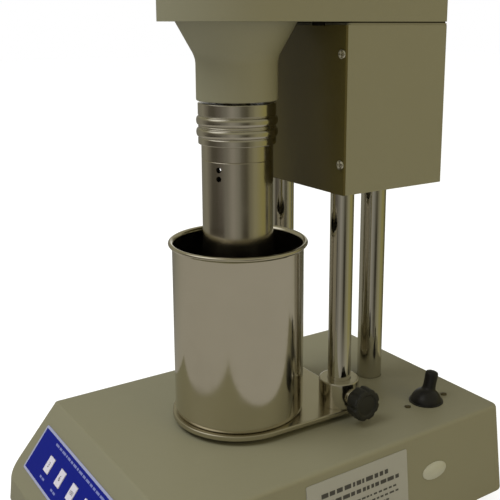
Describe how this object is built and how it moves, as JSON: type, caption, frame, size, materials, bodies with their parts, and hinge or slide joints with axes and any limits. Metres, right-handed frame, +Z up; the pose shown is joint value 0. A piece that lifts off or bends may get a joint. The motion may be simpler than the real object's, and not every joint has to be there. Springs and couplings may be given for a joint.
{
  "type": "rotational rheometer",
  "caption": "Bench coaxial-cylinder rheometer: sloped-front base, column-borne head, spinning sleeve over a bob, and a cup on a sliding stage.",
  "frame": {"origin": "middle of the base's outline, on the surface under the feet", "axes": "+X to the instrument's right, +Y to the back, +Z up along the rotor's axis"},
  "size_m": [0.1706, 0.2651, 0.369],
  "materials": {
    "paint": "fine orange-peel enamel, satin",
    "dark_plate": "dark brown enamel, semi-gloss",
    "zinc_steel": "zinc-plated",
    "rubber": "matte",
    "chrome": "polished",
    "stainless": "turned and polished",
    "panel_film": "printed film",
    "circuit_board": "solder mask",
    "core_iron": "laminated",
    "black_plastic": "moulded",
    "label_film": "printed film",
    "plate_aluminium": "milled",
    "dial_face": "printed disc",
    "brass": "bare",
    "lens_glass": "polished",
    "key_plastic": "moulded"
  },
  "bodies": {
    "root": {"base_housing": "paint", "head_cover": "paint", "motor_housing": "paint", "neck_housing": "paint", "motor_cover": "dark_plate", "bottom_plate": "zinc_steel", "rubber_feet": "rubber", "base_fasteners": "zinc_steel", "anchor_plate": "zinc_steel", "column_left": "chrome", "column_right": "chrome", "column_rear": "chrome", "column_fasteners": "zinc_steel", "key_panel": "panel_film", "key_board": "circuit_board", "control_board": "circuit_board", "transformer": "core_iron", "power_inlet": "black_plastic", "fuse_holder": "black_plastic", "toggle_body": "black_plastic", "toggle_boot": "rubber", "toggle_screws": "zinc_steel", "side_label": "label_film", "oval_sticker": "label_film", "cover_screws": "zinc_steel", "head_gasket": "rubber", "chassis_plate": "plate_aluminium", "chassis_screws": "zinc_steel", "spindle_bearings": "zinc_steel", "motor": "zinc_steel", "timing_belt": "rubber", "motor_lead": "black_plastic", "dial_bridge": "plate_aluminium", "torsion_spring": "zinc_steel", "index_pointer": "brass", "window_bezel": "chrome", "window_lens": "lens_glass", "top_cap": "chrome"},
    "rotor": {"spindle": "stainless", "ring_collar": "chrome", "rotor_sleeve": "stainless", "spindle_pulley": "plate_aluminium", "shaft_bearings": "zinc_steel"},
    "motor_rotor": {"motor_pulley": "plate_aluminium"},
    "bob_assembly": {"bob_shaft": "stainless", "bob": "stainless", "dial": "dial_face"},
    "stage": {"stage_plate": "stainless", "guide_collar_left": "stainless", "guide_collar_right": "stainless"},
    "clamp": {"clamp_knob": "black_plastic", "clamp_screw": "zinc_steel"},
    "cup": {"sample_cup": "stainless"},
    "toggle": {"toggle_lever": "rubber"},
    "pressed_key_3": {"key_3": "key_plastic"},
    "pressed_key_6": {"key_6": "key_plastic"},
    "pressed_key_100": {"key_100": "key_plastic"},
    "pressed_key_200": {"key_200": "key_plastic"},
    "pressed_key_300": {"key_300": "key_plastic"},
    "pressed_key_600": {"key_600": "key_plastic"}
  },
  "joints": [
    {"name": "rotor_spin", "type": "hinge", "parent": "root", "child": "rotor", "pos_m": [0, -0.0132, 0.24], "axis": [0, 0, 1], "continuous": true},
    {"name": "motor_spin", "type": "hinge", "parent": "root", "child": "motor_rotor", "pos_m": [0, 0.0623, 0.3], "axis": [0, 0, 1], "continuous": true},
    {"name": "bob_turn", "type": "hinge", "parent": "root", "child": "bob_assembly", "pos_m": [0, -0.0132, 0.24], "axis": [0, 0, 1], "range_deg": [0, 300], "stiffness_Nm_per_rad": 0.0022},
    {"name": "stage_lift", "type": "slide", "parent": "root", "child": "stage", "axis": [0, 0, 1], "range_m": [0, 0.078]},
    {"name": "clamp_turn", "type": "hinge", "parent": "stage", "child": "clamp", "pos_m": [0.048, 0.0394, 0.0765], "axis": [1, 0, 0], "range_deg": [0, 180]},
    {"name": "cup_lift", "type": "slide", "parent": "stage", "child": "cup", "axis": [0, 0, 1], "range_m": [0, 0.01]},
    {"name": "toggle_throw", "type": "hinge", "parent": "root", "child": "toggle", "pos_m": [0.0508, 0.0926, 0.0617], "axis": [1, 0, 0], "range_deg": [0, 26]},
    {"name": "press_key_3", "type": "slide", "parent": "root", "child": "pressed_key_3", "axis": [0, 0.799, -0.6014], "range_m": [0, 0.0006], "stiffness_N_per_m": 300, "springref_m": -0.001},
    {"name": "press_key_6", "type": "slide", "parent": "root", "child": "pressed_key_6", "axis": [0, 0.799, -0.6014], "range_m": [0, 0.0006], "stiffness_N_per_m": 300, "springref_m": -0.001},
    {"name": "press_key_100", "type": "slide", "parent": "root", "child": "pressed_key_100", "axis": [0, 0.799, -0.6014], "range_m": [0, 0.0006], "stiffness_N_per_m": 300, "springref_m": -0.001},
    {"name": "press_key_200", "type": "slide", "parent": "root", "child": "pressed_key_200", "axis": [0, 0.799, -0.6014], "range_m": [0, 0.0006], "stiffness_N_per_m": 300, "springref_m": -0.001},
    {"name": "press_key_300", "type": "slide", "parent": "root", "child": "pressed_key_300", "axis": [0, 0.799, -0.6014], "range_m": [0, 0.0006], "stiffness_N_per_m": 300, "springref_m": -0.001},
    {"name": "press_key_600", "type": "slide", "parent": "root", "child": "pressed_key_600", "axis": [0, 0.799, -0.6014], "range_m": [0, 0.0006], "stiffness_N_per_m": 300, "springref_m": -0.001}
  ],
  "couplings": [
    {"joint": "motor_spin", "follows": "rotor_spin", "ratio": 2}
  ]
}
